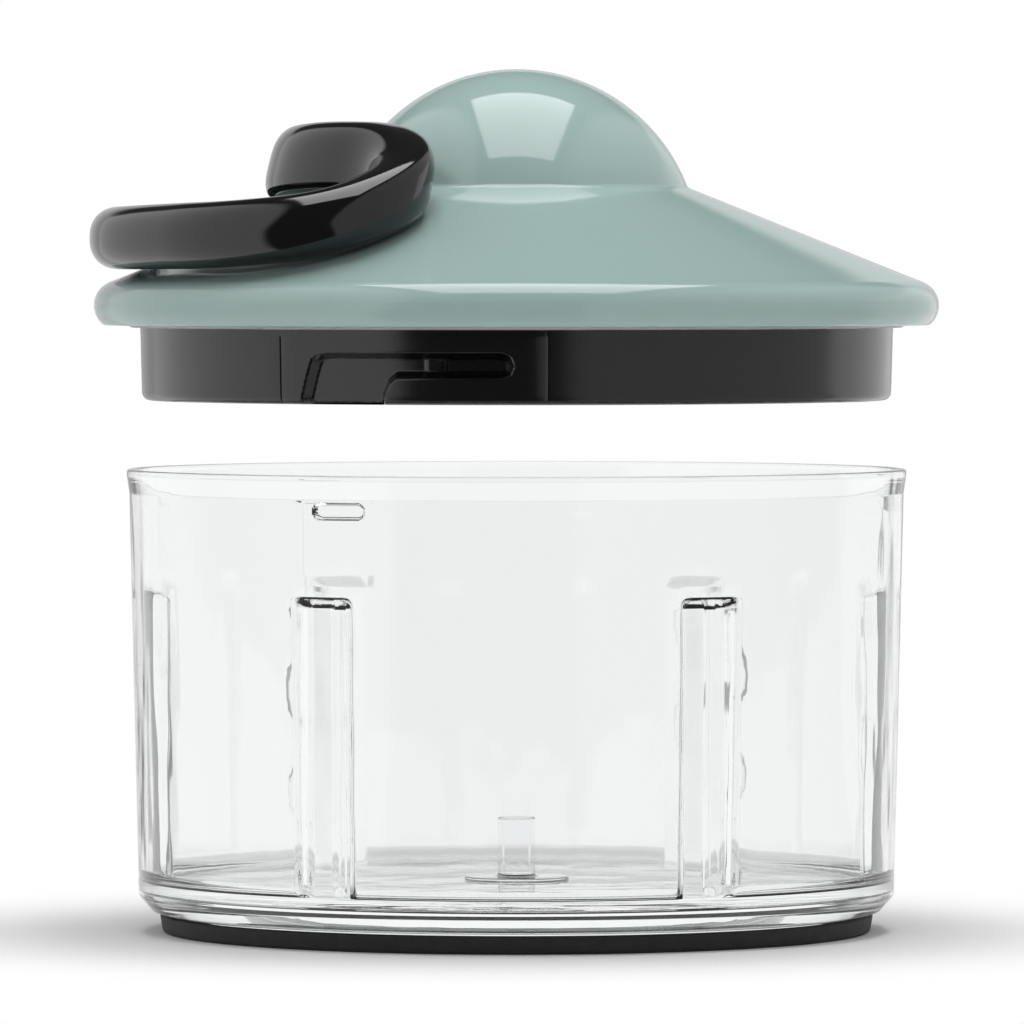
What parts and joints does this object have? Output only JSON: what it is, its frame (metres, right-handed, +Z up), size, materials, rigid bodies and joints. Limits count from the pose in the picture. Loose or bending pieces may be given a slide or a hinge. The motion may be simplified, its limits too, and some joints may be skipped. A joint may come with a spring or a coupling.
{
  "type": "pull-cord food chopper",
  "caption": "Hand food chopper: a clear round bowl and a domed lid whose loop handle pulls a cord that spins the blade drive.",
  "frame": {"origin": "centre of the foot ring's resting face", "axes": "+Z up along the bowl's axis; the handle points to -X, and the front seen in the picture faces -Y"},
  "size_m": [0.1357, 0.135, 0.1379],
  "materials": {
    "clear_plastic": "clear, polished",
    "sage_plastic": "high gloss",
    "black_gloss": "high gloss",
    "black_rubber": "matte, soft",
    "silicone": "matte, soft",
    "steel": "plain steel",
    "white_nylon": "matte",
    "cord": "braided"
  },
  "bodies": {
    "bowl": {"bowl": "clear_plastic", "foot_ring": "black_rubber"},
    "seal": {"lid_seal": "silicone"},
    "lid": {"lid_cover": "sage_plastic", "lid_base": "black_gloss", "cover_screws": "steel", "housing_screws": "steel", "spool_housing": "white_nylon", "spool_axle": "steel", "hub_bush": "white_nylon", "thrust_washer": "white_nylon", "shaft_seal": "silicone", "cord_bushing": "black_gloss", "cord_lead": "cord", "pull_cord": "cord", "recoil_spring": "steel"},
    "spool": {"spool": "white_nylon", "spring_cap": "white_nylon", "cord_winding": "cord", "drive_hub": "black_gloss", "hub_screw": "steel"},
    "handle": {"handle": "black_gloss", "handle_plug": "black_gloss", "cord_knot": "cord"}
  },
  "joints": [
    {"name": "lid_lift", "type": "slide", "parent": "bowl", "child": "seal", "axis": [0, 0, 1], "range_m": [-0.02255, 0.1]},
    {"name": "lid_turn", "type": "hinge", "parent": "seal", "child": "lid", "pos_m": [0, 0, 0.097], "axis": [0, 0, 1], "range_deg": [-21.9, 0]},
    {"name": "handle_pull", "type": "slide", "parent": "lid", "child": "handle", "axis": [-1, 0, 0], "range_m": [0, 0.45], "stiffness_N_per_m": 25, "springref_m": -0.1, "deforming": ["pull_cord"]},
    {"name": "spool_spin", "type": "hinge", "parent": "lid", "child": "spool", "pos_m": [0, 0, 0.12], "axis": [0, 0, 1], "range_deg": [0, 1920]}
  ],
  "couplings": [
    {"joint": "spool_spin", "follows": "handle_pull", "rad_per_m": 74.07}
  ]
}
